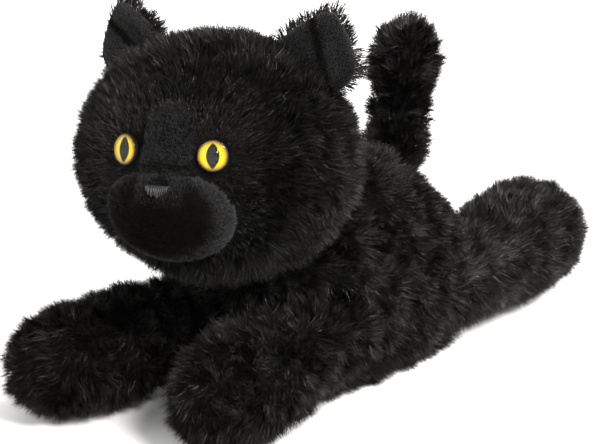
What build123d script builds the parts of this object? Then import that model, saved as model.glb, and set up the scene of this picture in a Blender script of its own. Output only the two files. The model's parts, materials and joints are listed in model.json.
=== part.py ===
from build123d import *
import math
import os

# Lying plush cat. Front -Y, the cat's left +X, up +Z, floor at Z = 0.
# The origin is on the flat of the belly. All lengths are millimetres, and
# every outer surface stands halfway up the pile.

# ---- driving dimensions ----------------------------------------------
cover_t = 1.5            # backing cloth with the pressed part of its pile
fill_gap = 0.3           # between a cover and the stuffing behind it
body_gap = 0.8           # between two bodies over their whole travel

# torso sections: distance back, half width, top, underside before the belly is cut flat
torso_sections = [(-50, 8, 52, 20), (-46, 20, 62, 4), (-34, 30, 78, -8), (-15, 35.5, 91, -16),
                  (10, 37, 99, -18), (38, 37, 94, -16), (62, 35, 79, -12), (78, 29, 64, -6),
                  (88, 19, 50, 4), (92, 8, 40, 18)]
belly_seam_z = 13

head_c = (0, -46, 110.5)
head_half, head_r = 56, 48       # half width, radius seen from the side
head_yaw, head_pitch, head_roll = 23, -10, -3
gusset_half = 13         # half width of the strip over the crown

neck_t = 3.0             # pad between the head and the shoulders
neck_half_angle = 30

muzzle_c, muzzle_half, muzzle_r = (0, -38, -17), 25.5, 18.5
nose_c, nose_r = (0, -52.8, -6.0), 3.9

eye_x, eye_z = 18.5, 6.0
eye_turn, eye_tip = 20, 5
eye_d, dome_h = 12.0, 3.4
post_d, post_l = 3.4, 9.0
washer_d, washer_t = 13.0, 1.2

ear_c, ear_half_t, ear_r = (41, 3, 41), 4.5, 16.5
ear_lean, ear_turn = 18, 18

front_root_r, front_len = 19.0, 60.0
front_paw_r, front_tip = 22.5, 30.0
front_left_pivot, front_left_paw = (24, -6, 30), (31, -62, 24)
front_right_pivot, front_right_paw = (-25, -32, 29), (-38, -92, 23)

hind_root_r, hind_len = 17.4, 78.0
hind_paw_r, hind_tip = 25.0, 33.0
hind_left_pivot, hind_left_paw = (17.5, 65, 27), (4, 141, 28)
hind_right_pivot, hind_right_paw = (-18.5, 61, 27), (-83, 104, 26)

tail_root, tail_mid, tail_end = (-17, 72, 62), (-28, 90, 90), (-31, 97, 133)
tail_root_r, tail_neck_r, tail_end_r = 8.5, 11.0, 13.5

knot_r = 3.0             # thread knot at each leg's root
lift_limit = 8           # how far a leg tips up, in degrees
sole_z = 0.5             # underside of the legs


# ---- helpers ---------------------------------------------------------
def spheroid(centre, along_axis, across, axis="X"):
    # an ellipse turned about the named axis
    with BuildPart() as made:
        with BuildSketch(Plane.XZ):
            with BuildLine():
                arc = EllipticalCenterArc((0, 0), across, along_axis, start_angle=-89, arc_size=178)
                low, high = arc @ 0, arc @ 1
                Polyline(high, (0, high.Y), (0, low.Y), low)      # small flats instead of poles
            make_face()
        revolve(axis=Axis.Z)
    stand = {"X": Rot(0, 90, 0), "Y": Rot(90, 0, 0), "Z": Rot(0, 0, 0)}[axis]
    return Pos(*centre) * stand * made.part


def slab(x0, x1, y0, y1, z0, z1):
    return Pos((x0 + x1) / 2, (y0 + y1) / 2, (z0 + z1) / 2) * Box(x1 - x0, y1 - y0, z1 - z0)


def biggest(shape):
    return max(shape.solids(), key=lambda s: s.volume)


def along(start, end):
    # local +Z runs from start to end
    d = Vector(*end) - Vector(*start)
    return Plane(origin=start, z_dir=d).location


def revolved(root_r, length, end_r, tip, d):
    # a ball at the root, a slope to end_r at the given length, then a rounded tip
    r, e, t = root_r + d, end_r + d, tip + d
    points = [(r * math.cos(math.radians(a)), r * math.sin(math.radians(a))) for a in range(-90, 1, 15)]
    for f in (0.25, 0.5, 0.75):
        points.append((r + (e - r) * f * f * (3 - 2 * f), length * f))
    points += [(e * math.cos(math.radians(a)), length + t * math.sin(math.radians(a))) for a in range(0, 91, 15)]
    points[0], points[-1] = (1.2, -r), (1.2, length + t)      # small flats instead of poles
    with BuildPart() as made:
        with BuildSketch(Plane.XZ):
            with BuildLine():
                Spline(*points)
                Polyline(points[-1], (0, length + t), (0, -r), points[0])
            make_face()
        revolve(axis=Axis.Z)
    return made.part


def turned(shape, pivot, axis, angle):
    return shape.rotate(Axis(pivot, axis), angle)


parts = {}


def save(name, shape):
    parts[name] = biggest(shape)


# ---- legs ------------------------------------------------------------
legs = {}
for name, pivot, paw, root_r, length, paw_r, tip in (
        ("front_left", front_left_pivot, front_left_paw, front_root_r, front_len, front_paw_r, front_tip),
        ("front_right", front_right_pivot, front_right_paw, front_root_r, front_len, front_paw_r, front_tip),
        ("hind_left", hind_left_pivot, hind_left_paw, hind_root_r, hind_len, hind_paw_r, hind_tip),
        ("hind_right", hind_right_pivot, hind_right_paw, hind_root_r, hind_len, hind_paw_r, hind_tip)):
    place = along(pivot, paw)
    outer = place * revolved(root_r, length, paw_r, tip, 0)
    inner = place * revolved(root_r, length, paw_r, tip, -cover_t)
    fill = place * revolved(root_r, length, paw_r, tip, -cover_t - fill_gap)
    legs[name] = dict(pivot=pivot, paw=paw, root_r=root_r, length=length, paw_r=paw_r)
    seam, floor_in = sole_z + 9, sole_z + cover_t
    bag_r = paw_r * 0.46
    bag_c = (paw[0], paw[1], paw[2] - 2)
    upper = (outer & slab(-200, 200, -250, 300, seam, 200)) - (inner & slab(-200, 200, -250, 300, seam - 1, 200))
    sole = (outer & slab(-200, 200, -250, 300, sole_z, seam)) - (inner & slab(-200, 200, -250, 300, floor_in, seam + 1))
    stuffing = fill & slab(-200, 200, -250, 300, floor_in + fill_gap, 200)
    stuffing = stuffing - Pos(*pivot) * Sphere(knot_r + body_gap) - Pos(*bag_c) * Sphere(bag_r + fill_gap)
    save(f"leg_{name}_upper", upper)
    save(f"leg_{name}_sole", sole)
    save(f"leg_{name}_stuffing", stuffing)
    save(f"leg_{name}_bean_bag", Pos(*bag_c) * Sphere(bag_r))
    save(f"leg_{name}_knot", Pos(*pivot) * Sphere(knot_r))

# ---- tail ------------------------------------------------------------
base_len = (Vector(*tail_mid) - Vector(*tail_root)).length
tip_len = (Vector(*tail_end) - Vector(*tail_mid)).length
base_at = along(tail_root, tail_mid)
tip_at = along(tail_mid, tail_end)
tip_room = Pos(*tail_mid) * Sphere(tail_neck_r + body_gap)
cup_keep = base_at * (Pos(0, 0, base_len / 2 - 22.0) * Box(80, 80, base_len + 34))


def tail_base(d=0.0):
    return base_at * revolved(tail_root_r, base_len - 4, tail_neck_r + 1.5, 8, d)


def tail_tip(d=0.0):
    return tip_at * revolved(tail_neck_r, tip_len - 12, tail_end_r, 12, d)


save("tail_base_cover", ((tail_base() - tail_base(-cover_t)) - tip_room) & cup_keep)
save("tail_base_stuffing", (tail_base(-cover_t - fill_gap) - tip_room) & cup_keep)
tip_cover = tail_tip() - tail_tip(-cover_t)
save("tail_tip_cover_right", tip_cover & slab(-200, tail_mid[0], -300, 300, -50, 300))
save("tail_tip_cover_left", tip_cover & slab(tail_mid[0], 200, -300, 300, -50, 300))
save("tail_tip_stuffing", tail_tip(-cover_t - fill_gap))


# ---- torso -----------------------------------------------------------
def torso_solid(d):
    # oval sections from the breast to the rump, cut flat at the belly
    ovals = []
    middle = 25
    for y, half, top, low in torso_sections:
        y += d if y > middle else -d
        with BuildSketch(Plane(origin=(0, y, (top + low) / 2), x_dir=(1, 0, 0), z_dir=(0, -1, 0))) as oval:
            Ellipse(half + d, (top - low) / 2 + d)
        ovals.append(oval.sketch.faces()[0])
    return loft(ovals) & slab(-100, 100, -150 - d, 200 + d, -min(d, 0), 200)


head_room = spheroid(head_c, head_r + neck_t + 2 * body_gap + 1, head_half + neck_t + 2 * body_gap, "Z")
cuts = [head_room, Pos(*tail_root) * Sphere(tail_root_r + body_gap),
        base_at * (Pos(0, 0, 26) * Cylinder(tail_neck_r + 4.5, 50))]
# each leg's room: a ball at the root, cones at the ends of its swing and
# lift, and for the hind legs a level sector between them
for name, splays, outward in (("front_left", (-5, 0, 23), 1), ("front_right", (-5, 0, 23), -1),
                              ("hind_left", (-4, 0, 31), -1), ("hind_right", (-29, 0, 13), 1)):
    leg = legs[name]
    pivot, reach = leg["pivot"], Vector(*leg["paw"]) - Vector(*leg["pivot"])
    room_r = leg["root_r"] + body_gap
    lateral = Vector(reach.Y, -reach.X, 0).normalized()
    cone = along(pivot, leg["paw"]) * (Pos(0, 0, leg["length"] / 2) * Cone(room_r - 0.3, leg["paw_r"] + 2, leg["length"]))
    lifted = turned(cone, pivot, (lateral.X, lateral.Y, 0), lift_limit + 1)
    cuts.append(along(pivot, leg["paw"]) * Sphere(room_r))
    cuts += [turned(cone, pivot, (0, 0, outward), angle) for angle in splays]
    cuts += [turned(lifted, pivot, (0, 0, outward), angle) for angle in splays[1:]]
    if "hind" in name:
        heading = math.degrees(math.atan2(reach.Y, reach.X))
        span = splays[2] - splays[0]
        first = heading + min(outward * splays[0], outward * splays[2])
        sector = Cylinder(60, 2 * room_r + 2.4, arc_size=span)
        cuts.append(Pos(*pivot) * Rot(0, 0, first) * sector)

torso_cover = torso_solid(0) - torso_solid(-cover_t)
torso_fill = torso_solid(-cover_t - fill_gap)
bean_at, bean_room_r = Pos(0, 24, 18), 13
for cut in cuts:
    torso_cover = torso_cover - cut
    torso_fill = torso_fill - cut
save("torso_back_left", torso_cover & slab(0.2, 100, -150, 200, belly_seam_z, 200))
save("torso_back_right", torso_cover & slab(-100, 0.2, -150, 200, belly_seam_z, 200))
save("torso_belly", torso_cover & slab(-100, 100, -150, 200, -5, belly_seam_z))
save("torso_stuffing", torso_fill - bean_at * Sphere(bean_room_r + fill_gap))
save("torso_pellet_bag", bean_at * (Sphere(bean_room_r) - Sphere(bean_room_r - 0.6)))
save("torso_pellets", bean_at * Sphere(bean_room_r - 0.9))

# ---- neck ------------------------------------------------------------
pad_z, pad_xy = head_r + body_gap + 1, head_half + body_gap
pad_shell = spheroid(head_c, pad_z + neck_t, pad_xy + neck_t, "Z") - spheroid(head_c, pad_z, pad_xy, "Z")
pad_at = Plane(origin=head_c, z_dir=(0, 0.588, -0.809)).location


def pad_cone(share):
    return pad_at * (Pos(0, 0, 50) * Cone(0.5, 100 * math.tan(math.radians(neck_half_angle)) * share, 100))


save("neck_stuffing", pad_shell & pad_cone(0.82))
save("neck_seam_band", (pad_shell & pad_cone(1.0)) - pad_cone(0.83))

# ---- head, in its own frame ------------------------------------------
head_at = Pos(*head_c) * Rot(0, 0, head_yaw) * Rot(head_pitch, 0, 0) * Rot(0, head_roll, 0)


def skull(d):
    return spheroid((0, 0, 0), head_half + d, head_r + d)


head_cover = skull(0) - skull(-cover_t)
head_fill = skull(-cover_t - fill_gap)


def eye_place(side):
    y = -math.sqrt((1 - (eye_x / head_half) ** 2) * head_r ** 2 - eye_z ** 2)
    # local +Z points out of the eye
    return Pos(side * eye_x, y + 0.6, eye_z) * Rot(0, 0, side * eye_turn) * Rot(90 - eye_tip, 0, 0)


for side, word in ((1, "left"), (-1, "right")):
    at = eye_place(side)
    r = eye_d / 2
    ball_r = (r * r + dome_h * dome_h) / (2 * dome_h)
    slit = Pos(3.7, 0, 0) * Cylinder(6.2, 4) & Pos(-3.7, 0, 0) * Cylinder(6.2, 4)
    post = Pos(0, 0, -0.8 - post_l / 2) * Cylinder(post_d / 2, post_l)
    washer = Pos(0, 0, -5.6) * (Cylinder(washer_d / 2, washer_t) - Cylinder(post_d / 2 + 0.05, washer_t + 1))
    with BuildPart() as pocket:
        with BuildSketch(Plane.XZ):
            outline = [(0, -12), (post_d / 2 + 0.1, -12), (post_d / 2 + 0.1, -6.4), (washer_d / 2 + 0.2, -6.4),
                       (washer_d / 2 + 0.2, -4.8), (post_d / 2 + 0.1, -4.8), (post_d / 2 + 0.1, -0.8),
                       (r + 0.1, -0.8), (r + 0.1, 7.2), (0, 7.2)]
            Polygon(*outline, align=None)
        revolve(axis=Axis.Z)
    head_cover = head_cover - at * pocket.part
    head_fill = head_fill - at * pocket.part
    save(f"eye_{word}_dome", head_at * at * (Pos(0, 0, dome_h + 0.9 - ball_r) * Sphere(ball_r) & Pos(0, 0, 5.9) * Box(20, 20, 10)))
    save(f"eye_{word}_iris", head_at * at * (Pos(0, 0, 0.45) * Cylinder(r - 0.3, 0.5)))
    save(f"eye_{word}_pupil", head_at * at * (Pos(0, 0, 0.8) * (Cylinder(r - 0.6, 0.2) & slit)))
    save(f"eye_{word}_backing", head_at * at * (Pos(0, 0, -0.3) * Cylinder(r, 1.0) + post))
    save(f"eye_{word}_washer", head_at * at * washer)

muzzle_cover = spheroid(muzzle_c, muzzle_half, muzzle_r) - skull(0.05)
muzzle_cover = muzzle_cover - spheroid(muzzle_c, muzzle_half - cover_t, muzzle_r - cover_t)
muzzle_fill = spheroid(muzzle_c, muzzle_half - cover_t - fill_gap, muzzle_r - cover_t - fill_gap) - skull(0.05)
nose_out = Vector(*nose_c) - Vector(*muzzle_c)
nose = Plane(origin=nose_c, z_dir=nose_out).location * Cylinder(nose_r, 12)
for side in (1, -1):
    brow = eye_place(side) * (Pos(0, 0, 4) * Cylinder(eye_d / 2 + 0.4, 12))
    muzzle_cover = muzzle_cover - brow
    muzzle_fill = muzzle_fill - brow
nose_top_box = slab(-11, 11, -80, 0, -12, 20)
save("nose_top", head_at * ((muzzle_cover & nose_top_box) - nose))
save("muzzle_cover", head_at * ((muzzle_cover - nose_top_box) - nose))
save("muzzle_stuffing", head_at * muzzle_fill)
nose_shell = spheroid(muzzle_c, muzzle_half + 0.7, muzzle_r + 0.7) - spheroid(muzzle_c, muzzle_half - cover_t, muzzle_r - cover_t)
save("nose_embroidery", head_at * (nose_shell & nose))
bridge_box = slab(-9.5, 9.5, -70, 0, -2, 27)
patches = {"left": slab(9.5, 38, -70, -10, -14, 30), "right": slab(-38, -9.5, -70, -10, -14, 30)}
top_strip = slab(-gusset_half, gusset_half, -70, 0, 30, 60) + slab(-gusset_half, gusset_half, 0, 70, -60, 60)
chin_box = slab(-gusset_half, gusset_half, -70, 0, -60, -14)
save("nose_bridge", head_at * (head_cover & bridge_box))
sides = head_cover - bridge_box - top_strip - chin_box
for word in patches:
    save(f"face_patch_{word}", head_at * (head_cover & patches[word]))
    sides = sides - patches[word]
save("head_gusset", head_at * (head_cover & top_strip))
save("chin_cover", head_at * (head_cover & chin_box))
save("head_cover_left", head_at * (sides & slab(0, 60, -70, 70, -60, 60)))
save("head_cover_right", head_at * (sides & slab(-60, 0, -70, 70, -60, 60)))
save("head_stuffing", head_at * head_fill)

# ---- ears ------------------------------------------------------------
for side, word in ((1, "left"), (-1, "right")):
    at = Pos(side * ear_c[0], ear_c[1], ear_c[2]) * Rot(0, 0, side * ear_turn) * Rot(0, side * ear_lean, 0)
    ear = spheroid((0, 0, 0), ear_half_t, ear_r, "Y")
    lining = at * (ear & slab(-40, 40, -40, -0.3, -40, 40))
    back = at * (ear & slab(-40, 40, -0.2, 40, -40, 40))
    save(f"ear_{word}_lining", head_at * (lining - skull(2.2)))
    save(f"ear_{word}_back", head_at * (back - skull(2.2)))

os.makedirs("parts", exist_ok=True)
for name, solid in parts.items():
    export_step(solid, f"parts/{name}.step")
print(len(parts), "pieces")
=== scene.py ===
import json
import math

import bmesh
import bpy
import numpy as np
from mathutils import Matrix, Vector, noise


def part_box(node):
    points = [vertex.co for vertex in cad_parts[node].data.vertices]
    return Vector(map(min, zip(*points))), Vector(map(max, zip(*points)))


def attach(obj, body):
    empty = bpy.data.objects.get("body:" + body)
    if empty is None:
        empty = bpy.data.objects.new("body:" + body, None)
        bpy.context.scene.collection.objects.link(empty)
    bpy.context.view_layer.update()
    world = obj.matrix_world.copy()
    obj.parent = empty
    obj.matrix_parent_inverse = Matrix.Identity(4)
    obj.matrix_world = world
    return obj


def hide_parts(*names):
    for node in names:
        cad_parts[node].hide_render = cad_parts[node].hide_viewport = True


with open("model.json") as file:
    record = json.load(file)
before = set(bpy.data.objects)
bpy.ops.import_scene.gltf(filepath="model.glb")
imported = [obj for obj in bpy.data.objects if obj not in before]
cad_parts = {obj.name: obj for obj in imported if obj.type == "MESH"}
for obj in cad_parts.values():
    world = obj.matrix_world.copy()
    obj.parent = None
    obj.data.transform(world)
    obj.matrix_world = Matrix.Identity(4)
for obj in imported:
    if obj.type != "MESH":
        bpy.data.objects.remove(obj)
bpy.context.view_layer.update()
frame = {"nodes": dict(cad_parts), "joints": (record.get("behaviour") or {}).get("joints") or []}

jointAt = {joint["name"]: Vector(joint["pos_m"]) for joint in frame["joints"]}
sides = ("left", "right")
print("stage: frame loaded")


# shader and geometry nodes as expressions
class Sock:
    # one socket, so that number maths reads as plain expressions
    def __init__(self, kit, socket):
        self.kit, self.socket = kit, socket

    def calc(self, op, a, b):
        return self.kit.add("ShaderNodeMath", {"operation": op}, {0: a, 1: b})

    def __add__(self, other): return self.calc("ADD", self, other)
    def __radd__(self, other): return self.calc("ADD", other, self)
    def __sub__(self, other): return self.calc("SUBTRACT", self, other)
    def __rsub__(self, other): return self.calc("SUBTRACT", other, self)
    def __mul__(self, other): return self.calc("MULTIPLY", self, other)
    def __rmul__(self, other): return self.calc("MULTIPLY", other, self)
    def __truediv__(self, other): return self.calc("DIVIDE", self, other)
    def __rtruediv__(self, other): return self.calc("DIVIDE", other, self)
    def __pow__(self, other): return self.calc("POWER", self, other)

    def out(self, key):
        # another output of the same node
        return Sock(self.kit, self.socket.node.outputs[key])


class NodeKit:
    def __init__(self, tree):
        self.tree = tree

    def add(self, kind, settings=None, inputs=None, out=0):
        # settings first, then the values or links of the sockets
        node = self.tree.nodes.new(kind)
        for key, value in (settings or {}).items():
            if key == "stops":
                ramp = node.color_ramp.elements
                for i, (at, colour) in enumerate(value):
                    stop = ramp[i] if i < 2 else ramp.new(at)
                    stop.position, stop.color = at, (*colour, 1)
            else:
                setattr(node, key, value)
        for key, value in (inputs or {}).items():
            if isinstance(value, Sock):
                self.tree.links.new(value.socket, node.inputs[key])
            else:
                node.inputs[key].default_value = value
        return Sock(self, node.outputs[out]) if node.outputs else node

    def vec(self, op, a, b=(0, 0, 0), out=0):
        return self.add("ShaderNodeVectorMath", {"operation": op}, {0: a, 1: b}, out)

    def length(self, a):
        return self.vec("LENGTH", a, out="Value")

    def dot(self, a, b):
        return self.vec("DOT_PRODUCT", a, b, out="Value")

    def scaled(self, a, factor):
        return self.add("ShaderNodeVectorMath", {"operation": "SCALE"}, {0: a, "Scale": factor})

    def atLeast(self, a, low):
        return self.add("ShaderNodeMath", {"operation": "MAXIMUM"}, {0: a, 1: low})

    def parts(self, a):
        # the X output; the others are reached with out("Y") and out("Z")
        return self.add("ShaderNodeSeparateXYZ", None, {0: a})

    def joined(self, **parts):
        return self.add("ShaderNodeCombineXYZ", None, {key.upper(): value for key, value in parts.items()})

    def mixed(self, factor, a, b):
        a, b = ((*c, 1) if isinstance(c, tuple) else c for c in (a, b))
        return self.add("ShaderNodeMix", {"data_type": "RGBA"}, {0: factor, 6: a, 7: b}, out=2)

    def clouds(self, place, size, detail=2.0):
        return self.add("ShaderNodeTexNoise", None, {"Vector": place, "Scale": size, "Detail": detail})


def newMaterial(name, fixed):
    mat = bpy.data.materials.new(name)
    mat.use_nodes = True
    mat.node_tree.nodes.clear()
    kit = NodeKit(mat.node_tree)
    kit.shader = kit.add("ShaderNodeBsdfPrincipled", None, fixed)
    kit.output = kit.add("ShaderNodeOutputMaterial", None, {"Surface": kit.shader})
    return mat, kit


def feed(kit, name, value):
    kit.tree.links.new(value.socket, kit.shader.socket.node.inputs[name])


def objectCoords(kit, centre=(0, 0, 0)):
    coords = kit.add("ShaderNodeTexCoord", out="Object")
    return kit.add("ShaderNodeMapping", {"vector_type": "POINT"},
                   {"Vector": coords, "Location": tuple(-c for c in centre)})


def bumped(kit, height, strength, distance):
    bump = {"Height": height, "Strength": strength, "Distance": distance}
    feed(kit, "Normal", kit.add("ShaderNodeBump", None, bump))


# pile colours, from the darkest lock to the lightest; the last two stops are the brown blades
longPileLook = {"root": (0.0006, 0.0006, 0.0006), "rough": 0.36, "gloss": 0.16,
                "stops": [(0.0, (0.0008, 0.0008, 0.0008)), (0.35, (0.0038, 0.0036, 0.0032)),
                          (0.62, (0.020, 0.0192, 0.0182)), (0.74, (0.062, 0.062, 0.064)),
                          (0.8, (0.0060, 0.0042, 0.0028)), (1.0, (0.034, 0.024, 0.016))]}
shortPileLook = {"root": (0.0012, 0.0012, 0.0012), "rough": 0.5, "gloss": 0.08,
                 "stops": [(0.0, (0.0010, 0.0010, 0.0009)), (0.45, (0.0085, 0.0080, 0.0074)),
                           (0.74, (0.060, 0.059, 0.061)), (0.8, (0.0036, 0.0027, 0.0020)),
                           (1.0, (0.020, 0.0155, 0.012))]}


def pileMaterial(name, look):
    # u across the map is a blade's own shade, v runs from its root to its tip
    mat, kit = newMaterial(name, {"Roughness": look["rough"], "Specular IOR Level": look["gloss"]})
    split = kit.parts(kit.add("ShaderNodeUVMap", {"uv_map": "OFBake"}))
    tone = kit.add("ShaderNodeValToRGB", {"stops": look["stops"]}, {0: split.out("X")})
    feed(kit, "Base Color", kit.mixed(split.out("Y") ** 0.7, look["root"], tone))
    return mat


backingLook = {"dark": (0.0008, 0.0008, 0.0008), "pale": (0.0040, 0.0038, 0.0036),
               "grain": 900.0, "clouds": 60.0, "bump": 0.6, "depth": 0.0006}


def backingMaterial(look):
    # the knitted ground that the pile stands in
    mat, kit = newMaterial("knittedBacking", {"Roughness": 0.85, "Specular IOR Level": 0.1})
    coords = objectCoords(kit)
    grain = kit.clouds(coords, look["grain"])
    feed(kit, "Base Color", kit.mixed(kit.clouds(coords, look["clouds"]) * grain, look["dark"], look["pale"]))
    bumped(kit, grain, look["bump"], look["depth"])
    return mat


irisLook = {"radius": 0.0057, "streaks": 0.10, "paintedGlow": 0.08,
            "stops": [(0.0, (0.22, 0.14, 0.001)), (0.40, (0.36, 0.26, 0.0012)),
                      (0.66, (0.42, 0.33, 0.0015)), (0.86, (0.24, 0.15, 0.001)),
                      (1.0, (0.03, 0.010, 0.0005))]}


def boxCentre(node):
    low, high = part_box(node)
    return (low + high) / 2


def irisMaterial(name, node, look):
    # rings from the centre outward, broken by rays
    # the iris glows faintly in its own colours: painted light
    fixed = {"Roughness": 0.35, "Specular IOR Level": 0.2, "Emission Strength": look["paintedGlow"]}
    mat, kit = newMaterial(name, fixed)
    coords = objectCoords(kit, boxCentre(node))
    ray = kit.vec("NORMALIZE", coords)
    streak = kit.clouds(kit.scaled(ray, 9.0), 3.0, 3.0)
    reach = kit.length(coords) / look["radius"] + (streak - 0.5) * look["streaks"]
    tone = kit.add("ShaderNodeValToRGB", {"stops": look["stops"]}, {0: reach})
    feed(kit, "Base Color", tone)
    feed(kit, "Emission Color", tone)
    return mat


def clearMaterial():
    # acrylic that lets lamps reach the painted disc behind it; it hardly refracts,
    # or its flat back would be a mirror at a slant
    mat, kit = newMaterial("clearAcrylic", {"Base Color": (1, 1, 1, 1), "IOR": 1.01, "Transmission Weight": 1.0,
                                            "Coat Weight": 0.2, "Coat Roughness": 0.02})
    feed(kit, "Roughness", 0.01 + kit.clouds(objectCoords(kit), 300.0) * 0.02)
    shadow = kit.add("ShaderNodeLightPath", out="Is Shadow Ray")
    clear = kit.add("ShaderNodeBsdfTransparent")
    both = kit.add("ShaderNodeMixShader", None, {0: shadow, 1: kit.shader, 2: clear})
    kit.tree.links.new(both.socket, kit.output.inputs["Surface"])
    return mat


def plainMaterial(name, low, high, rough, scale, coat=0.0, bump=0.0, gloss=0.5):
    # a finish with a faint cloud in its colour and roughness
    mat, kit = newMaterial(name, {"Coat Weight": coat, "Coat Roughness": 0.05, "Specular IOR Level": gloss})
    cloud = kit.clouds(objectCoords(kit), scale, 3.0)
    feed(kit, "Base Color", kit.mixed(cloud, low, high))
    feed(kit, "Roughness", rough + (cloud - 0.5) * 0.12)
    if bump:
        bumped(kit, cloud, bump, 0.0004)
    return mat


longPile = pileMaterial("longPile", longPileLook)
shortPile = pileMaterial("shortPile", shortPileLook)
backing = backingMaterial(backingLook)
clearAcrylic = clearMaterial()
blackPlastic = plainMaterial("blackPlastic", (0.004, 0.004, 0.004), (0.010, 0.010, 0.010), 0.22, 400.0, coat=0.6)
whitePlastic = plainMaterial("whitePlastic", (0.60, 0.60, 0.58), (0.72, 0.72, 0.70), 0.4, 200.0)
pupilPaint = plainMaterial("pupilPaint", (0.001, 0.001, 0.001), (0.003, 0.003, 0.003), 0.5, 300.0, gloss=0.15)
blackThread = plainMaterial("blackThread", (0.006, 0.006, 0.0065), (0.026, 0.026, 0.029), 0.36, 1500.0, bump=0.3)


# mesh helpers
def newObject(name, mesh):
    obj = bpy.data.objects.new(name, mesh)
    bpy.context.scene.collection.objects.link(obj)
    return obj


def applied(obj):
    # the evaluated object as a plain mesh, with no modifier left
    name, old = obj.name, obj.data
    bpy.context.view_layer.update()
    graph = bpy.context.evaluated_depsgraph_get()
    mesh = bpy.data.meshes.new_from_object(obj.evaluated_get(graph), preserve_all_data_layers=True, depsgraph=graph)
    bpy.data.objects.remove(obj)
    if old.users == 0:
        bpy.data.meshes.remove(old)
    mesh.name = name
    return newObject(name, mesh)


def shaded(obj, finish):
    for polygon in obj.data.polygons:
        polygon.use_smooth = True
    if finish:
        obj.data.materials.append(finish)


def refinish(node, finish):
    materials = frame["nodes"][node].data.materials
    materials.clear()
    materials.append(finish)


def skinCopy(name, nodes):
    # merged copies of the named solids in one mesh
    bm = bmesh.new()
    for node in nodes:
        bm.from_mesh(frame["nodes"][node].data)
    bmesh.ops.remove_doubles(bm, verts=bm.verts, dist=1e-6)
    mesh = bpy.data.meshes.new(name)
    bm.to_mesh(mesh)
    bm.free()
    return newObject(name, mesh)


def dropInnerShells(mesh):
    # keeps the shell with the most vertices
    bm = bmesh.new()
    bm.from_mesh(mesh)
    left, best = set(bm.verts), []
    while left:
        stack, shell = [left.pop()], []
        while stack:
            vert = stack.pop()
            shell.append(vert)
            for edge in vert.link_edges:
                other = edge.other_vert(vert)
                if other in left:
                    left.remove(other)
                    stack.append(other)
        if len(shell) > len(best):
            best = shell
    keep = set(best)
    bmesh.ops.delete(bm, geom=[v for v in bm.verts if v not in keep], context="VERTS")
    bm.to_mesh(mesh)
    bm.free()


def moveAlongNormals(mesh, distance):
    count = len(mesh.vertices)
    co, normals = np.zeros(count * 3), np.zeros(count * 3)
    mesh.vertices.foreach_get("co", co)
    mesh.vertex_normals.foreach_get("vector", normals)
    mesh.vertices.foreach_set("co", co + normals * distance)
    mesh.update()


def swell(skin, amount):
    # each vertex goes out along its normal by what amount says for its place
    normals = [normal.vector.copy() for normal in skin.data.vertex_normals]
    for vertex, normal in zip(skin.data.vertices, normals):
        vertex.co += normal * amount(vertex.co)
    skin.data.update()


def skinFrom(name, nodes, look):
    # one closed skin round the named solids, relaxed and set in
    obj = skinCopy(name, nodes)
    remesh = obj.modifiers.new("remesh", "REMESH")
    remesh.mode, remesh.voxel_size = "VOXEL", look["voxel"]
    smooth = obj.modifiers.new("relax", "SMOOTH")
    smooth.factor, smooth.iterations = 0.5, look["relax"]
    obj = applied(obj)
    dropInnerShells(obj.data)
    moveAlongNormals(obj.data, -look["inset"])
    shaded(obj, backing)
    return obj


def smoothStep(low, high, value):
    t = min(max((value - low) / (high - low), 0.0), 1.0)
    return t * t * (3 - 2 * t)


def fold(co, scale):
    # soft creases; the torso cloth swells along them, and the pile's tint follows them as painted light on the
    # crests and painted shade in the troughs
    return noise.noise(Vector((co.x * 0.5, co.y * 1.5, co.z * 0.6)) * scale)


def levelled(way, normal):
    # the part of a direction that lies in the surface
    return way - normal * way.dot(normal)


# one Geometry Nodes tree grows every coat
pileInputs = {"Density": "Float", "Length": "Float", "Blade width": "Float", "Lock size": "Float",
              "Lock pull": "Float", "Tousle": "Float", "Swirl size": "Float", "Sag": "Float", "Bend": "Float",
              "Shade": "Float", "Shade spread": "Float", "Ribs": "Float", "Seed": "Int", "Finish": "Material"}
skinFacts = {"cover": ("FLOAT", 1.0), "long": ("FLOAT", 1.0), "comb": ("FLOAT_VECTOR", (0, 0, 0)),
             "wild": ("FLOAT", 1.0), "tint": ("FLOAT", 0.0), "brown": ("FLOAT", 0.0)}


def newTree(name, entryName, exitName, inputs):
    # a modifier's tree with one geometry in and out, and the identifiers of its inputs
    tree = bpy.data.node_groups.new(name, "GeometryNodeTree")
    tree.is_modifier = True
    ids = {}
    for label, kind in {entryName: "Geometry", **inputs}.items():
        ids[label] = tree.interface.new_socket(label, in_out="INPUT", socket_type="NodeSocket" + kind).identifier
    tree.interface.new_socket(exitName, in_out="OUTPUT", socket_type="NodeSocketGeometry")
    kit = NodeKit(tree)
    return tree, ids, kit, kit.add("NodeGroupInput").out


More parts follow.
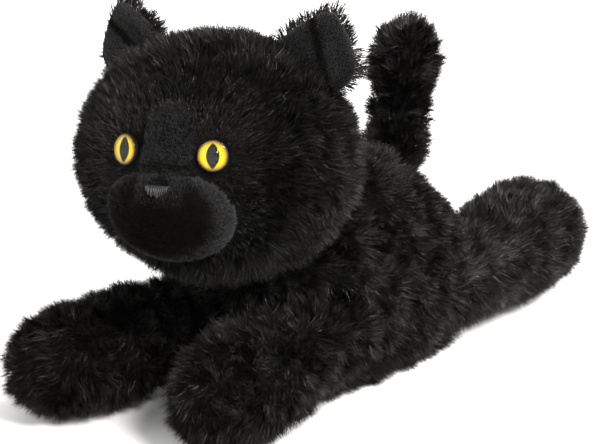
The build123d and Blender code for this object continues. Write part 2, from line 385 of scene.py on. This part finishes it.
def pileTree():
    tree, ids, kit, get = newTree("pile", "Skin", "Pile", pileInputs)

    def attribute(name, kind="FLOAT"):
        return kit.add("GeometryNodeInputNamedAttribute", {"data_type": kind}, {"Name": name})

    def chance(low, high, seed):
        return kit.add("FunctionNodeRandomValue", {"data_type": "FLOAT"}, {2: low, 3: high, "Seed": seed}, out=1)

    def store(geometry, name, value, kind="FLOAT", domain="POINT"):
        return kit.add("GeometryNodeStoreNamedAttribute", {"data_type": kind, "domain": domain},
                       {"Geometry": geometry, "Name": name, "Value": value})

    def position():
        return kit.add("GeometryNodeInputPosition")

    # one blade: a narrow folded kite from the root at the origin to its tip at z = 1
    square = kit.add("GeometryNodeMeshGrid", None, {"Size X": 1.0, "Size Y": 1.0, "Vertices X": 2, "Vertices Y": 2})
    corner = kit.parts(position())
    height = (corner + corner.out("Y") + 1) / 2
    kite = kit.joined(x=(corner - corner.out("Y")) / 2, y=get("Bend") * height * height, z=height)
    blade = kit.add("GeometryNodeSetPosition", None, {"Geometry": square, "Position": kite})
    blade = store(blade, "along", kit.parts(position()).out("Z"))

    # roots on the skin, gathered in locks
    spread = kit.add("GeometryNodeDistributePointsOnFaces", {"distribute_method": "RANDOM"},
                     {"Mesh": get("Skin"), "Density": get("Density") * attribute("cover"), "Seed": get("Seed")})
    points = store(spread, "out", spread.out("Normal"), "FLOAT_VECTOR")
    normal = attribute("out", "FLOAT_VECTOR")
    place = position()
    lock = kit.add("ShaderNodeTexVoronoi", {"feature": "F1", "voronoi_dimensions": "3D"},
                   {"Vector": place, "Scale": 1 / get("Lock size")}, out="Position")
    lockChance = kit.parts(lock.out("Color"))
    toCentre = kit.vec("SUBTRACT", lock, place)
    toCentre = kit.vec("SUBTRACT", toCentre, kit.scaled(normal, kit.dot(toCentre, normal)))

    # where a blade points: out, combed, swirled with its lock, a little of its own, and sagging
    swirl = kit.add("ShaderNodeTexNoise", {"noise_dimensions": "3D"},
                    {"Vector": lock, "Scale": 1 / get("Swirl size"), "Detail": 1.0}, out="Color")
    swirl = kit.vec("SUBTRACT", swirl, (0.5, 0.5, 0.5))
    own = kit.add("FunctionNodeRandomValue", {"data_type": "FLOAT_VECTOR"},
                  {0: (-0.5, -0.5, -0.5), 1: (0.5, 0.5, 0.5), "Seed": 11}, out=0)
    wild = get("Tousle") * attribute("wild")
    way = kit.vec("ADD", normal, attribute("comb", "FLOAT_VECTOR"))
    way = kit.vec("ADD", way, kit.scaled(swirl, wild * 5.0))
    way = kit.vec("ADD", way, kit.scaled(own, 0.5))
    way = kit.vec("SUBTRACT", way, kit.joined(z=get("Sag")))
    way = kit.vec("NORMALIZE", way)
    # a blade never points back into its skin
    inward = kit.atLeast(0.22 - kit.dot(way, normal), 0.0)
    way = kit.vec("NORMALIZE", kit.vec("ADD", way, kit.scaled(normal, inward)))

    length = get("Length") * attribute("long") * (0.72 + 0.5 * lockChance) * chance(0.75, 1.12, 3)
    reach = kit.vec("ADD", kit.scaled(way, length), kit.scaled(toCentre, get("Lock pull")))
    aligned = kit.add("FunctionNodeAlignRotationToVector", {"axis": "Z"}, {"Vector": reach})
    roll = kit.add("FunctionNodeEulerToRotation", None, {0: kit.joined(z=chance(0.0, 6.283, 5))})
    rolled = kit.add("FunctionNodeRotateRotation", {"rotation_space": "LOCAL"}, {0: aligned, 1: roll})
    size = kit.length(reach)
    scale = kit.joined(x=get("Blade width") * chance(0.7, 1.25, 7), y=size, z=size)

    # a blade's shade; past 0.8 it is one of the brown ones
    rib = kit.add("ShaderNodeMath", {"operation": "SINE"}, {0: kit.parts(place).out("Z") * 5200.0})
    # the skin's tint holds its own tone and the painted light and shade that the rules lay on it
    shade = (get("Shade") + attribute("tint") + (lockChance.out("Y") - 0.5) * get("Shade spread")
             + chance(-0.15, 0.15, 9) + rib * get("Ribs"))
    limited = kit.add("ShaderNodeClamp", None, {"Value": shade, "Min": 0.01, "Max": 0.74})
    isBrown = kit.add("ShaderNodeMath", {"operation": "LESS_THAN"}, {0: chance(0.0, 1.0, 13), 1: attribute("brown")})
    points = store(points, "shade", limited + isBrown * (0.82 + limited * 0.2 - limited))

    pile = kit.add("GeometryNodeInstanceOnPoints", None,
                   {"Points": points, "Instance": blade, "Rotation": rolled, "Scale": scale})
    pile = kit.add("GeometryNodeRealizeInstances", None, {"Geometry": pile})
    # nothing goes under the floor: there the blades lie pressed flat
    at = kit.parts(position())
    lifted = kit.atLeast(at.out("Z"), 0.0003 + attribute("shade") * 0.0008)
    pile = kit.add("GeometryNodeSetPosition", None,
                   {"Geometry": pile, "Position": kit.joined(x=at, y=at.out("Y"), z=lifted)})
    pile = store(pile, "OFBake", kit.joined(x=attribute("shade"), y=attribute("along")), "FLOAT2", "CORNER")
    pile = kit.add("GeometryNodeSetMaterial", None, {"Geometry": pile, "Material": get("Finish")})
    kit.add("NodeGroupOutput", None, {0: pile})
    return tree, ids


pileGroup, pileIds = pileTree()
longLook = {"Density": 4.2e6, "Length": 0.0078, "Blade width": 0.00021, "Lock size": 0.0028, "Lock pull": 0.42,
            "Tousle": 0.9, "Swirl size": 0.012, "Sag": 0.2, "Bend": 0.3, "Shade": 0.31, "Shade spread": 0.5,
            "Ribs": 0.0, "Seed": 1, "Finish": longPile}
shortLook = {"Density": 7.0e6, "Length": 0.0013, "Blade width": 0.00026, "Lock size": 0.0016, "Lock pull": 0.1,
             "Tousle": 0.25, "Swirl size": 0.02, "Sag": 0.0, "Bend": 0.15, "Shade": 0.45, "Shade spread": 0.12,
             "Ribs": 0.0, "Seed": 5, "Finish": shortPile}


def dressed(obj, name, settings):
    # the pile of one skin as a plain mesh of blades
    coat = newObject(name, obj.data.copy())
    grow = coat.modifiers.new("pile", "NODES")
    grow.node_group = pileGroup
    for key, value in settings.items():
        grow[pileIds[key]] = value
    coat = applied(coat)
    spares = {"shade", "along", "out", *skinFacts}
    for spare in [layer.name for layer in coat.data.attributes if layer.name in spares]:
        coat.data.attributes.remove(coat.data.attributes[spare])
    print("   ", name, len(coat.data.polygons) * 2, "triangles")
    return coat


def describe(obj, rule):
    # stores on each vertex what the pile tree reads there
    mesh = obj.data
    rows = [rule(vertex.co, normal.vector) for vertex, normal in zip(mesh.vertices, mesh.vertex_normals)]
    for name, (kind, usual) in skinFacts.items():
        isVector = kind == "FLOAT_VECTOR"
        values = [row.get(name, usual) for row in rows]
        values = np.array([tuple(v) for v in values] if isVector else values, float)
        if name in mesh.attributes:
            mesh.attributes.remove(mesh.attributes[name])
        layer = mesh.attributes.new(name, kind, "POINT")
        layer.data.foreach_set("vector" if isVector else "value", values.reshape(-1))


def ride(obj, body, nodes=(), fill=None):
    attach(obj, body)
    if nodes:
        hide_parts(*nodes)


def coatOf(skin, rule, name, body, look, seeds):
    # one piece of pile for each seed, so that none grows too heavy
    describe(skin, rule)
    slot = "long_pile" if look["Finish"] == longPile else "short_pile"
    for i, seed in enumerate(seeds):
        label = name if len(seeds) == 1 else f"{name}{i + 1}"
        ride(dressed(skin, label, {**look, "Seed": seed}), body)


# head
headLook = {"yaw": 23, "pitch": -10, "roll": -3, "voxel": 0.0018, "relax": 12, "inset": 0.0028, "fill": 0.85,
            "tint": -0.03, "faceTint": -0.07, "paintedTopLight": 0.14, "paintedSideLight": 0.07, "paintedCreaseLightAndShade": 0.08,
            "brown": 0.05, "eyeBrown": 0.45,
            "coat": {**longLook, "Density": 3.4e6, "Tousle": 0.65, "Lock size": 0.0022, "Shade spread": 0.36}}
bridgeLook = {"half": 0.0095, "low": -0.013, "top": 0.016, "crown": 0.0080, "seam": 0.0005,
              "stand": 0.0018, "slope": 0.0036,
              "coat": {**shortLook, "Length": 0.0020, "Density": 2.0e7, "Ribs": 0.08}}
muzzleLook = {"centre": (0, -0.038, -0.017), "half": 0.0255, "across": 0.0185,
              "voxel": 0.0011, "relax": 8, "inset": 0.0006, "fill": 0.9, "swell": 0.0020,
              "coat": {**shortLook, "Density": 1.1e7, "Length": 0.0019, "Blade width": 0.00022, "Tousle": 0.4}}

headAt = (Matrix.Translation(jointAt["neck_turn"]) @ Matrix.Rotation(math.radians(headLook["yaw"]), 4, "Z")
          @ Matrix.Rotation(math.radians(headLook["pitch"]), 4, "X")
          @ Matrix.Rotation(math.radians(headLook["roll"]), 4, "Y"))
headIn = headAt.inverted()
headTurn, headTurnIn = headAt.to_3x3(), headIn.to_3x3()
eyeSpots = [headIn @ boxCentre(f"eye_{side}_dome") for side in sides]


def inMuzzle(p):
    # 1 on the muzzle's own surface, more outside it
    c = muzzleLook["centre"]
    return math.sqrt((p.x / muzzleLook["half"]) ** 2
                     + ((p.y - c[1]) ** 2 + (p.z - c[2]) ** 2) / muzzleLook["across"] ** 2)


def muzzleRim(p):
    # 0 in the middle of the muzzle's face, 1 at its outline
    return math.hypot(p.x / muzzleLook["half"], (p.z - muzzleLook["centre"][2]) / muzzleLook["across"])


def onBridge(p):
    # how far inside the short panel between the eyes, 1 within, 0 out
    rise = (p.z - bridgeLook["top"]) / bridgeLook["crown"]
    width = bridgeLook["half"] * (1.0 if rise < 0 else math.sqrt(max(0.0, 1 - rise ** 2)))
    if p.y > 0 or p.z < bridgeLook["low"] or width <= 0.001:
        return 0.0
    return 1 - smoothStep(width - 0.0012, width + 0.0012, abs(p.x))


def headRule(co, normal):
    p, n = headIn @ co, headTurnIn @ normal
    nearest = min(eyeSpots, key=lambda spot: (p - spot).length)
    eye, muzzle = (p - nearest).length, inMuzzle(p)
    cover = smoothStep(0.98, 1.06, muzzle) * smoothStep(0.0058, 0.0072, eye) * (1 - onBridge(p))
    face = (smoothStep(0.042, 0.030, abs(p.x)) * smoothStep(-0.016, -0.030, p.y)
            * smoothStep(-0.040, -0.015, p.z) * smoothStep(0.040, 0.028, p.z))
    # combed away from the eyes and the muzzle
    comb = ((p - nearest).normalized() * 1.5 * face * smoothStep(0.03, 0.008, eye)
            + (p - Vector(muzzleLook["centre"])).normalized() * (0.9 * face + 0.35)
            + Vector((math.copysign(0.5, p.x), 0.1, 0.25)) * face)
    # shorter round the eyes, the muzzle and the panel, and along the sewn crown strip
    long = (0.25 + 0.75 * smoothStep(0.0065, 0.018, eye)) * (1 - 0.22 * face)
    long *= 0.45 + 0.55 * smoothStep(1.0, 1.55, muzzle)
    if p.y < 0 and p.z > -0.008:
        fromPanel = math.hypot(p.x, max(0.0, p.z - bridgeLook["top"]))
        long *= 0.4 + 0.6 * smoothStep(bridgeLook["half"], bridgeLook["half"] + 0.011, fromPanel)
    seam = min(abs(abs(p.x) - 0.013), 0.004) / 0.004 if p.y > -0.01 or p.z > 0.03 else 1.0
    long *= 0.8 + 0.2 * seam
    # the face is darker; the crown and both sides of the head are painted lighter as if lit, and the crease noise
    # paints light and shade
    tint = (headLook["tint"] + headLook["faceTint"] * face + headLook["paintedTopLight"] * smoothStep(0.5, 1.0, n.z)
            + headLook["paintedSideLight"] * smoothStep(0.6, 1.0, abs(n.x)) + headLook["paintedCreaseLightAndShade"] * fold(co, 45))
    brown = headLook["brown"] + headLook["eyeBrown"] * face * smoothStep(0.030, 0.010, eye)
    return {"cover": cover, "long": long, "comb": headTurn @ levelled(comb, n), "wild": 1 - 0.75 * face,
            "tint": tint, "brown": brown}


def bridgeRule(co, normal):
    p = headIn @ co
    seam = 1 - smoothStep(0.0, 0.0012, abs(p.z - bridgeLook["seam"]))
    return {"cover": onBridge(p), "long": 1 - 0.4 * smoothStep(0.002, -0.006, p.z),
            "comb": headTurn @ Vector((0, 0, 1.2)), "wild": 0.2, "brown": 0.08,
            "tint": 0.11 + 0.10 * smoothStep(0.001, -0.004, p.z) - 0.2 * seam}


headNodes = ["head_cover_left", "head_cover_right", "head_gusset", "chin_cover", "face_patch_left",
             "face_patch_right", "nose_bridge", "head_stuffing"]
headSkin = skinFrom("headSkin", headNodes, headLook)
for vertex in headSkin.data.vertices:
    # the short panel stands at the cloth, and runs down on to the muzzle
    p = headIn @ vertex.co
    slope = ((1 - smoothStep(1.0, 1.5, inMuzzle(p))) * smoothStep(-0.020, -0.008, p.z)
             * smoothStep(0.017, 0.008, abs(p.x)))
    out = bridgeLook["stand"] * onBridge(p) + bridgeLook["slope"] * slope
    if p.y < 0 and out > 0:
        vertex.co += headTurn @ Vector((0, -out, 0))
headSkin.data.update()
coatOf(headSkin, headRule, "headPile", "head", headLook["coat"], (21, 22))
coatOf(headSkin, bridgeRule, "bridgePile", "head", bridgeLook["coat"], (25,))
ride(headSkin, "head", headNodes, fill=headLook["fill"])
print("stage: head")

# muzzle, with its nose panel
noseSpot = Vector((0, -0.0528, -0.006))


def muzzleSwell(co):
    # the cheeks of the muzzle swell at their upper rim
    p = headIn @ co
    high = 0.35 + 0.65 * smoothStep(-0.024, -0.010, p.z)
    return muzzleLook["swell"] * smoothStep(0.45, 0.9, muzzleRim(p)) * high


def muzzleRule(co, normal):
    p, n = headIn @ co, headTurnIn @ normal
    low = smoothStep(-0.004, -0.016, p.z)
    rim = smoothStep(0.66, 0.95, muzzleRim(p))
    comb = Vector((p.x * 20, 0, (p.z - muzzleLook["centre"][2]) * 20)) + Vector((0, 0, 0.6))
    seam = 1.0
    if p.z > -0.0125:
        seam = min(smoothStep(0.0003, 0.0014, abs(p.z + 0.012)),
                   smoothStep(0.0003, 0.0014, abs(abs(p.x) - 0.0105)))
    panel = smoothStep(-0.0160, -0.0120, p.z) * smoothStep(0.0125, 0.0090, abs(p.x))
    # painted light: the rim is lighter as if catching sheen, most on the upper right where it is lit; the nose panel
    # takes a lighter grey
    lit = smoothStep(-0.034, -0.020, p.z) * smoothStep(-0.01, 0.01, p.x)
    paintedGlow = max(rim * (0.40 + 0.75 * lit), 0.75 * panel)
    middle = low * (1 - rim)
    return {"cover": smoothStep(0.0036, 0.0048, (p - noseSpot).length), "long": 0.9 * (0.8 + 0.2 * seam),
            "comb": headTurn @ levelled(comb, n), "wild": 0.5,
            "tint": -0.04 - 0.14 * middle + 0.41 * paintedGlow - 0.07 * (1 - seam), "brown": 0.06 + 0.6 * middle}


muzzleNodes = ["muzzle_cover", "nose_top", "muzzle_stuffing"]
muzzleSkin = skinFrom("muzzleSkin", muzzleNodes, muzzleLook)
swell(muzzleSkin, muzzleSwell)
coatOf(muzzleSkin, muzzleRule, "muzzlePile", "head", muzzleLook["coat"], (31,))
ride(muzzleSkin, "head", muzzleNodes, fill=muzzleLook["fill"])

# nose: a fan of satin stitches
noseLook = {"Threads": 13, "Width": 0.0088, "Height": 0.0048, "Finish": blackThread}
noseFit = {"thread": 0.00027, "out": 0.0011, "down": 0.08}


def stitchTree():
    tree, ids, kit, get = newTree("satinStitch", "Start", "Stitches",
                                  {"Threads": "Int", "Width": "Float", "Height": "Float", "Finish": "Material"})
    step = get("Width") / (get("Threads") - 1)
    row = kit.add("GeometryNodeMeshLine", {"mode": "OFFSET"},
                  {"Count": get("Threads"), "Start Location": kit.joined(x=get("Width") / -2),
                   "Offset": kit.joined(x=step)})
    arc = kit.add("GeometryNodeCurveArc", {"mode": "POINTS"},
                  {"Resolution": 7, "Start": (0, 0, -0.5), "Middle": (0, -0.24, 0), "End": (0, 0, 0.5)})
    ring = kit.add("GeometryNodeCurvePrimitiveCircle", None, {"Resolution": 6, "Radius": 1.0})
    ring = kit.add("GeometryNodeTransform", None,
                   {"Geometry": ring, "Scale": Vector((1, 1, 1)) * noseFit["thread"]})
    across = kit.parts(kit.add("GeometryNodeInputPosition")) / (get("Width") / 2)
    ragged = kit.add("FunctionNodeRandomValue", {"data_type": "FLOAT"}, {2: 0.78, 3: 1.12, "Seed": 4}, out=1)
    tall = get("Height") * (1 - across * across * 0.5) * ragged
    turn = kit.add("FunctionNodeEulerToRotation", None, {0: kit.joined(y=across * 0.16)})
    row = kit.add("GeometryNodeSetPosition", None, {"Geometry": row, "Offset": kit.joined(z=tall * -0.5)})
    rows = kit.add("GeometryNodeInstanceOnPoints", None,
                   {"Points": row, "Instance": arc, "Rotation": turn, "Scale": kit.joined(x=1.0, y=tall, z=tall)})
    made = kit.add("GeometryNodeRealizeInstances", None, {"Geometry": rows})
    made = kit.add("GeometryNodeCurveToMesh", None, {"Curve": made, "Profile Curve": ring, "Fill Caps": True})
    made = kit.add("GeometryNodeSetMaterial", None, {"Geometry": made, "Material": get("Finish")})
    kit.add("NodeGroupOutput", None, {0: made})
    return tree, ids


stitchGroup, stitchIds = stitchTree()
stitches = newObject("noseStitches", bpy.data.meshes.new("noseStitches"))
sew = stitches.modifiers.new("sew", "NODES")
sew.node_group = stitchGroup
for key, value in noseLook.items():
    sew[stitchIds[key]] = value
stitches = applied(stitches)
noseOut = headTurn @ (noseSpot - Vector(muzzleLook["centre"])).normalized()
noseX = headTurn @ Vector((1, 0, 0))
noseUp = noseX.cross(-noseOut).normalized()
noseUp = noseUp if noseUp.z > 0 else -noseUp
noseAt = Matrix((noseX, -noseOut, noseUp)).transposed().to_4x4()
noseAt.translation = (headAt @ noseSpot + noseOut * noseFit["out"]
                      - noseUp * (noseLook["Height"] * noseFit["down"]))
stitches.data.transform(noseAt)
shaded(stitches, None)
ride(stitches, "head", ["nose_embroidery"])
print("stage: muzzle and nose")

# eyes: the turned parts stay and get their finishes
pupilBehind = 0.00004  # the paint lies a hair behind the dome's flat, so the two faces don't fight
for side in sides:
    refinish(f"eye_{side}_dome", clearAcrylic)
    refinish(f"eye_{side}_iris", irisMaterial(f"yellowIris_{side}", f"eye_{side}_iris", irisLook))
    refinish(f"eye_{side}_backing", blackPlastic)
    refinish(f"eye_{side}_washer", whitePlastic)
    eyeOut = (boxCentre(f"eye_{side}_dome") - boxCentre(f"eye_{side}_washer")).normalized()
    slit = skinCopy(f"pupilPaint_{side}", [f"eye_{side}_pupil"])
    slit.data.transform(Matrix.Translation(-pupilBehind * eyeOut))
    slit.data.materials.append(pupilPaint)
    ride(slit, "head", [f"eye_{side}_pupil"])

# ears
earLook = {"centre": (0.041, 0.003, 0.041), "radius": 0.0165, "lean": 18, "turn": 18, "cup": 0.0036,
           "narrow": 0.50, "stretch": 0.16, "voxel": 0.0011, "relax": 6, "inset": 0.0006, "fill": 0.4,
           "back": {**longLook, "Density": 8e6, "Length": 0.0082, "Lock size": 0.003, "Sag": 0.0,
                    "Blade width": 0.00034},
           "lining": {**shortLook, "Length": 0.0009, "Density": 2.0e7}}


def earRules(earAt):
    earIn = earAt.inverted()
    turn, turnIn = earAt.to_3x3(), earIn.to_3x3()

    def back(co, normal):
        q, n = earIn @ co, turnIn @ normal
        rim = smoothStep(0.78, 0.96, math.hypot(q.x, q.z) / earLook["radius"])
        return {"cover": smoothStep(0.0, 0.3, n.y), "long": 0.7 + 0.3 * rim, "wild": 0.6, "brown": 0.2,
                "comb": turn @ Vector((q.x * 40, 0.5, q.z * 40 + 0.5)), "tint": 0.02}

    def lining(co, normal):
        q, n = earIn @ co, turnIn @ normal
        # crease is 0 along the lining's crease line; there the tint paints shade
        crease = smoothStep(0.0, 0.003, abs(q.x * 0.8 + q.z * 0.5 - 0.001))
        edge = smoothStep(0.7, 0.95, abs(q.x) / earLook["radius"])
        return {"cover": smoothStep(0.3, 0.05, n.y), "long": 1.0, "comb": turn @ Vector((0, 0, 0.9)),
                "wild": 0.4, "tint": 0.42 * crease - 0.15 * (1 - crease),
                "brown": 0.04 + 0.5 * (1 - crease) + 0.3 * edge}

    return back, lining


for side, sign in (("left", 1), ("right", -1)):
    x, y, z = earLook["centre"]
    earAt = (headAt @ Matrix.Translation((sign * x, y, z))
             @ Matrix.Rotation(math.radians(sign * earLook["turn"]), 4, "Z")
             @ Matrix.Rotation(math.radians(sign * earLook["lean"]), 4, "Y"))
    earIn = earAt.inverted()
    nodes = [f"ear_{side}_lining", f"ear_{side}_back"]
    skin = skinFrom(f"earSkin_{side}", nodes, earLook)
    for vertex in skin.data.vertices:
        # the ear narrows to a rounded point and its lining is hollowed
        q = earIn @ vertex.co
        inner = 1 - smoothStep(0.2, 0.95, math.hypot(q.x, q.z) / earLook["radius"])
        if q.y < 0.0015:
            q.y += earLook["cup"] * inner
        up = max(0.0, q.z / earLook["radius"])
        q.x *= 1 - earLook["narrow"] * up ** 1.4
        q.z *= 1 + earLook["stretch"] * up
        vertex.co = earAt @ q
    skin.data.update()
    backRule, liningRule = earRules(earAt)
    coatOf(skin, backRule, f"earPile_{side}", f"ear_{side}", earLook["back"], (41,))
    coatOf(skin, liningRule, f"earLining_{side}", f"ear_{side}", earLook["lining"], (42,))
    ride(skin, f"ear_{side}", nodes, fill=earLook["fill"])
print("stage: ears")

# torso, with bare rooms where the legs turn in it
torsoLook = {"voxel": 0.0022, "relax": 14, "inset": 0.0028, "fill": 0.7, "crease": 0.0032,
             "coat": {**longLook, "Density": 2.2e6}}
legRoots = [place for name, place in jointAt.items() if name.endswith("_splay")]


def fromRooms(co):
    return min((co - root).length for root in legRoots)


def torsoCrease(co):
    return torsoLook["crease"] * min(fold(co, 50), 0.25) * smoothStep(0.020, 0.028, fromRooms(co))


def torsoRule(co, normal):
    under = smoothStep(-0.5, -0.9, normal.z)
    seam = smoothStep(0.0, 0.003, abs(co.x))
    return {"comb": levelled(Vector((0, 0.55, -0.25)), normal), "long": (1 - 0.7 * under) * (0.8 + 0.2 * seam),
            "brown": 0.08 + 0.15 * smoothStep(0.05, 0.01, co.z),
            # painted light: lighter where the skin faces up, and lighter on the crease crests and darker in the
            # troughs
            "tint": -0.03 + 0.09 * normal.z + 0.30 * fold(co, 50),
            "cover": smoothStep(0.0195, 0.0215, fromRooms(co))}


torsoNodes = ["torso_back_left", "torso_back_right", "torso_belly", "torso_stuffing", "torso_pellet_bag",
              "torso_pellets"]
torsoSkin = skinFrom("torsoSkin", torsoNodes, torsoLook)
swell(torsoSkin, torsoCrease)
coatOf(torsoSkin, torsoRule, "torsoPile", "torso", torsoLook["coat"], (51, 52, 53))
ride(torsoSkin, "torso", torsoNodes, fill=torsoLook["fill"])


def lieAlong(way, strength, soleSeam=None, light=0.0):
    # pile combed along a limb, shorter under the sole and along its seam
    way = Vector(way).normalized()

    def rule(co, normal):
        long, brown = 1.0, 0.10
        if soleSeam is not None:
            under = smoothStep(-0.45, -0.9, normal.z) * smoothStep(0.008, 0.003, co.z)
            long = 1 - 0.72 * under
            long *= 1 - 0.3 * (1 - smoothStep(0.0, 0.003, abs(co.z - soleSeam)))
            brown += 0.15 * smoothStep(0.03, 0.005, co.z)
        return {"comb": levelled(way * strength, normal), "long": long, "brown": brown,
                # painted light: the given amount of light, more where the skin faces up, and light and shade along
                # the crease noise
                "tint": light + 0.05 * normal.z + 0.10 * fold(co, 50)}
    return rule


# neck
neckLook = {"voxel": 0.0012, "relax": 4, "inset": 0.0, "fill": 0.8,
            "coat": {**longLook, "Length": 0.004, "Density": 1.5e6}}
neckNodes = ["neck_stuffing", "neck_seam_band"]
neckSkin = skinFrom("neckSkin", neckNodes, neckLook)
coatOf(neckSkin, lieAlong((0, -0.3, -1), 0.4), "neckPile", "neck", neckLook["coat"], (55,))
ride(neckSkin, "neck", neckNodes, fill=neckLook["fill"])

# tail
tailLook = {"voxel": 0.0016, "relax": 8, "inset": 0.002, "fill": 0.8,
            "coat": {**longLook, "Sag": 0.0, "Length": 0.0088, "Lock size": 0.0034, "Lock pull": 0.6,
                     "Tousle": 1.0, "Blade width": 0.00026, "Shade spread": 0.7}}
tailParts = {"tail_base": {"nodes": ["tail_base_cover", "tail_base_stuffing"], "seed": 61, "density": 6.0e6,
                           "way": jointAt["tail_curl"] - jointAt["tail_swing"]},
             "tail_tip": {"nodes": ["tail_tip_cover_left", "tail_tip_cover_right", "tail_tip_stuffing"],
                          "seed": 62, "density": 5.0e6, "way": (-0.003, 0.007, 0.043)}}
for part, facts in tailParts.items():
    skin = skinFrom(part + "Skin", facts["nodes"], tailLook)
    coat = {**tailLook["coat"], "Density": facts["density"]}
    coatOf(skin, lieAlong(facts["way"], 0.7), part + "Pile", part, coat, (facts["seed"],))
    ride(skin, part, facts["nodes"], fill=tailLook["fill"])

# legs
legLook = {"voxel": 0.002, "relax": 10, "inset": 0.0026, "fill": 0.65, "soleSeam": 0.0095, "comb": 0.55,
           # light is painted light added to the pile's tint, more on the hind legs
           "front": {"density": 6.7e6, "light": 0.06, "joint": "shoulder"},
           "hind": {"density": 5.6e6, "light": 0.16, "joint": "hip"}}
for i, (end, side) in enumerate((end, side) for end in ("front", "hind") for side in sides):
    leg, facts = f"{end}_{side}", legLook[end]
    nodes = [f"leg_{leg}_{part}" for part in ("upper", "sole", "stuffing", "bean_bag")]
    skin = skinFrom(f"legSkin_{leg}", nodes, legLook)
    way = boxCentre(f"leg_{leg}_bean_bag") - jointAt[f"{facts['joint']}_{side}_splay"]
    rule = lieAlong(way, legLook["comb"], legLook["soleSeam"], facts["light"])
    coatOf(skin, rule, f"legPile_{leg}", f"leg_{leg}", {**longLook, "Density": facts["density"]}, (71 + i,))
    ride(skin, f"leg_{leg}", nodes, fill=legLook["fill"])
    refinish(f"leg_{leg}_knot", blackThread)
print("stage: torso, tail and legs")

# floor, light and camera
floor = newObject("floor", bpy.data.meshes.new("floor"))
bm = bmesh.new()
bmesh.ops.create_grid(bm, x_segments=1, y_segments=1, size=6.0)
bm.to_mesh(floor.data)
bm.free()
floorMat, kit = newMaterial("paleFloor", {"Base Color": (0.93, 0.93, 0.925, 1), "Roughness": 0.9})
floor.data.materials.append(floorMat)

world = bpy.data.worlds.new("studio")
bpy.context.scene.world = world
world.use_nodes = True
sky = world.node_tree.nodes["Background"].inputs
sky[0].default_value = (1.0, 0.995, 0.985, 1)
sky[1].default_value = 1.0

lamps = {"windowSide": {"place": (1.15, -0.15, 1.15), "aim": (0, 0, 0.06), "size": 0.5, "power": 44,
                        "tint": (1.0, 0.985, 0.96)},
         "fillSide": {"place": (-0.9, -1.0, 0.8), "aim": (0, 0, 0.08), "size": 0.9, "power": 8,
                      "tint": (1.0, 0.98, 0.95)},
         "backRim": {"place": (0.35, 1.25, 1.0), "aim": (0, 0.05, 0.06), "size": 0.7, "power": 46,
                     "tint": (1, 1, 1)}}
for name, look in lamps.items():
    data = bpy.data.lights.new(name, "AREA")
    data.size, data.energy, data.color = look["size"], look["power"], look["tint"]
    lamp = newObject(name, data)
    lamp.location = look["place"]
    towards = Vector(look["aim"]) - Vector(look["place"])
    lamp.rotation_euler = towards.to_track_quat("-Z", "Y").to_euler()

cameraLook = {"azimuth": 46, "elevation": 20, "distance": 0.9, "aim": (0, 0, 0.070), "lens": 128}
camera = newObject("camera", bpy.data.cameras.new("camera"))
azimuth, elevation = math.radians(cameraLook["azimuth"]), math.radians(cameraLook["elevation"])
way = Vector((math.sin(azimuth) * math.cos(elevation), -math.cos(azimuth) * math.cos(elevation),
              math.sin(elevation)))
camera.location = Vector(cameraLook["aim"]) + way * cameraLook["distance"]
camera.rotation_euler = (-way).to_track_quat("-Z", "Y").to_euler()
camera.data.lens = cameraLook["lens"]
bpy.context.scene.camera = camera
bpy.context.scene.view_settings.view_transform = "Standard"
print("stage: floor, light and camera")
